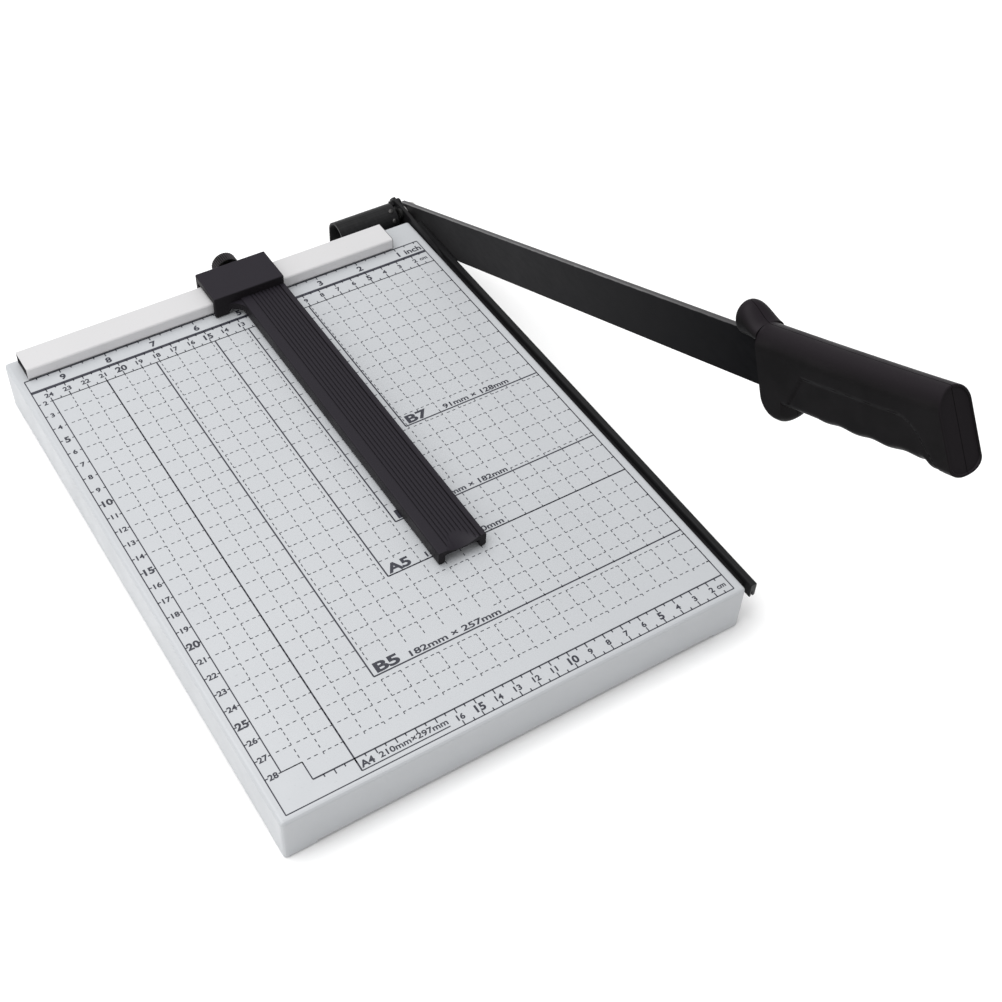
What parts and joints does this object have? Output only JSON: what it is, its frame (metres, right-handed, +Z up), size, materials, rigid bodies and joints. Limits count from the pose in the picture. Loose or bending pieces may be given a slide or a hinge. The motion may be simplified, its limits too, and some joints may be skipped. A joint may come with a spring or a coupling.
{
  "type": "guillotine paper cutter",
  "caption": "Desktop guillotine paper cutter: flat ruled metal table with rear fence, sliding side gauge with thumb screw, and a hinged blade arm with handle along the right edge.",
  "frame": {"origin": "on the surface it stands on, below the middle of the whole object with the arm at rest", "axes": "+X to the cutting edge side, +Y from the user towards the fence, +Z up"},
  "size_m": [0.2652, 0.4282, 0.2104],
  "materials": {
    "pale_paint": "satin powder-coated light grey steel sheet",
    "rail_paint": "satin powder-coated off-white steel sheet",
    "black_steel": "satin black painted steel",
    "black_blade": "satin black painted steel, bare along its top edge",
    "black_cast": "black painted casting",
    "gauge_plastic": "fine-grained black moulded plastic",
    "handle_plastic": "satin black moulded plastic",
    "bare_steel": "zinc-plated steel",
    "spring_steel": "oiled spring wire",
    "brass": "turned brass",
    "rubber": "matt black rubber"
  },
  "bodies": {
    "base": {"base_pan": "pale_paint", "rubber_foot_front_left": "rubber", "rubber_foot_front_right": "rubber", "rubber_foot_rear_left": "rubber", "rubber_foot_rear_right": "rubber", "fence_rail": "rail_paint", "rail_rivet_1": "bare_steel", "rail_rivet_2": "bare_steel", "rail_rivet_3": "bare_steel", "bed_knife": "black_steel", "bed_knife_screw_1": "bare_steel", "bed_knife_screw_2": "bare_steel", "bed_knife_screw_3": "bare_steel", "hinge_bracket": "black_cast", "hinge_screw_1": "bare_steel", "hinge_screw_2": "bare_steel", "hinge_cover": "black_steel", "cover_rivet_upper": "bare_steel", "cover_rivet_lower": "bare_steel", "ear_rivet": "bare_steel", "stop_bolt": "black_steel", "stop_nut": "black_steel", "friction_spring": "spring_steel"},
    "blade_arm": {"upper_blade": "black_blade", "handle_left_shell": "handle_plastic", "handle_right_shell": "handle_plastic", "handle_screw_1": "bare_steel", "handle_screw_2": "bare_steel", "pivot_bolt": "bare_steel", "pivot_spacer": "bare_steel", "spring_washer": "bare_steel", "lock_nut": "bare_steel"},
    "gauge": {"side_gauge": "gauge_plastic", "threaded_insert": "brass"},
    "clamp_stud": {"thumb_stud": "bare_steel"},
    "clamp_knob": {"thumb_knob": "gauge_plastic"}
  },
  "joints": [
    {"name": "arm_hinge", "type": "hinge", "parent": "base", "child": "blade_arm", "pos_m": [0.1193, 0.20466, 0.0218], "axis": [-1, 0, 0], "range_deg": [-21, 55]},
    {"name": "gauge_slide", "type": "slide", "parent": "base", "child": "gauge", "axis": [1, 0, 0], "range_m": [-0.103, 0.065]},
    {"name": "stud_advance", "type": "slide", "parent": "gauge", "child": "clamp_stud", "axis": [0, 1, 0], "range_m": [0, 0.0016]},
    {"name": "knob_turn", "type": "hinge", "parent": "clamp_stud", "child": "clamp_knob", "pos_m": [0.0008, 0.19916, 0.0342], "axis": [0, 1, 0], "range_deg": [0, 720]}
  ],
  "couplings": [
    {"joint": "stud_advance", "follows": "knob_turn", "m_per_rad": 0.00012732}
  ]
}
